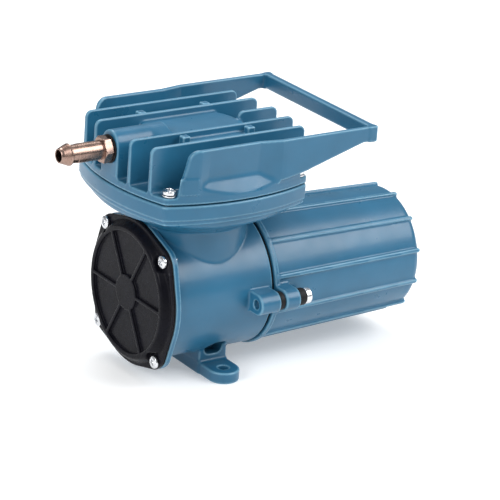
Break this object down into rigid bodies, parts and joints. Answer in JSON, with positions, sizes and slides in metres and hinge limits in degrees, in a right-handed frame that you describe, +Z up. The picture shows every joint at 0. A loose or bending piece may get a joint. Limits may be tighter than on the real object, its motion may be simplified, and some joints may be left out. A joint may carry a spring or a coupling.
{
  "type": "air pump",
  "caption": "Compact 12 V piston air pump with a finned head that carries the handle, a hose barb outlet, a round crankcase on a two-hole foot, and a ribbed motor.",
  "frame": {"origin": "centre of the foot's underside, on the surface that the pump is bolted to", "axes": "+X along the motor shaft towards the motor's rear end, +Z up along the cylinder, hose barb along -X"},
  "size_m": [0.2412, 0.115, 0.1554],
  "materials": {
    "blue_enamel": "gloss",
    "black_enamel": "semi-gloss",
    "zinc_plated_steel": "satin",
    "brass_fitting": "polished",
    "black_rubber": "matte",
    "cast_aluminium": "as cast",
    "bearing_steel": "polished",
    "spring_steel": "polished",
    "lamination_iron": "satin",
    "copper": "satin",
    "ferrite": "matte",
    "ptfe": "matte",
    "fibre_board": "matte",
    "carbon": "matte"
  },
  "bodies": {
    "pump_body": {"crankcase": "blue_enamel", "cylinder_head": "blue_enamel", "motor_housing": "blue_enamel", "front_cover": "black_enamel", "cover_screw_1": "zinc_plated_steel", "cover_screw_2": "zinc_plated_steel", "cover_screw_3": "zinc_plated_steel", "cover_screw_4": "zinc_plated_steel", "head_screw_1": "zinc_plated_steel", "head_screw_2": "zinc_plated_steel", "head_screw_3": "zinc_plated_steel", "head_screw_4": "zinc_plated_steel", "head_washer_1": "zinc_plated_steel", "head_washer_2": "zinc_plated_steel", "head_washer_3": "zinc_plated_steel", "head_washer_4": "zinc_plated_steel", "clamp_screw_near": "zinc_plated_steel", "clamp_screw_far": "zinc_plated_steel", "outlet_barb": "brass_fitting", "barb_seal": "black_rubber", "brush_holder_near": "brass_fitting", "brush_holder_far": "brass_fitting", "front_cover_gasket": "black_rubber", "head_gasket": "black_rubber", "motor_seal": "black_rubber", "clamp_washer_near": "black_rubber", "clamp_washer_far": "black_rubber", "cord_gland": "black_rubber", "cylinder_liner": "cast_aluminium", "valve_plate": "cast_aluminium", "front_bearing": "bearing_steel", "rear_bearing": "bearing_steel", "flux_ring": "bearing_steel", "brush_spring_near": "spring_steel", "brush_spring_far": "spring_steel", "bearing_wave_washer": "spring_steel", "field_magnet_upper": "ferrite", "field_magnet_lower": "ferrite", "brush_plate": "fibre_board", "carbon_brush_near": "carbon", "carbon_brush_far": "carbon"},
    "rotor": {"motor_shaft": "bearing_steel", "armature_core": "lamination_iron", "front_winding": "copper", "rear_winding": "copper", "commutator": "copper", "crank_eccentric": "cast_aluminium", "crank_pin_screw": "zinc_plated_steel"},
    "rod": {"connecting_rod": "cast_aluminium", "rod_bearing": "bearing_steel", "piston_cup": "ptfe", "piston_clamp_plate": "cast_aluminium", "piston_screw": "zinc_plated_steel"},
    "inlet_valve": {"inlet_reed": "spring_steel"},
    "outlet_valve": {"outlet_reed": "spring_steel"}
  },
  "joints": [
    {"name": "crank_spin", "type": "hinge", "parent": "pump_body", "child": "rotor", "pos_m": [0, 0, 0.051], "axis": [1, 0, 0], "continuous": true},
    {"name": "rod_pivot", "type": "hinge", "parent": "rotor", "child": "rod", "pos_m": [-0.0075, 0, 0.0545], "axis": [1, 0, 0], "continuous": true},
    {"name": "inlet_reed_flex", "type": "hinge", "parent": "rod", "child": "inlet_valve", "pos_m": [-0.0185, 0, 0.1101], "axis": [0, -1, 0], "range_deg": [0, 8], "stiffness_Nm_per_rad": 0.02},
    {"name": "outlet_reed_flex", "type": "hinge", "parent": "pump_body", "child": "outlet_valve", "pos_m": [-0.0185, 0, 0.1213], "axis": [0, -1, 0], "range_deg": [0, 8], "stiffness_Nm_per_rad": 0.02}
  ],
  "couplings": [
    {"joint": "rod_pivot", "follows": "crank_spin", "ratio": -1}
  ]
}
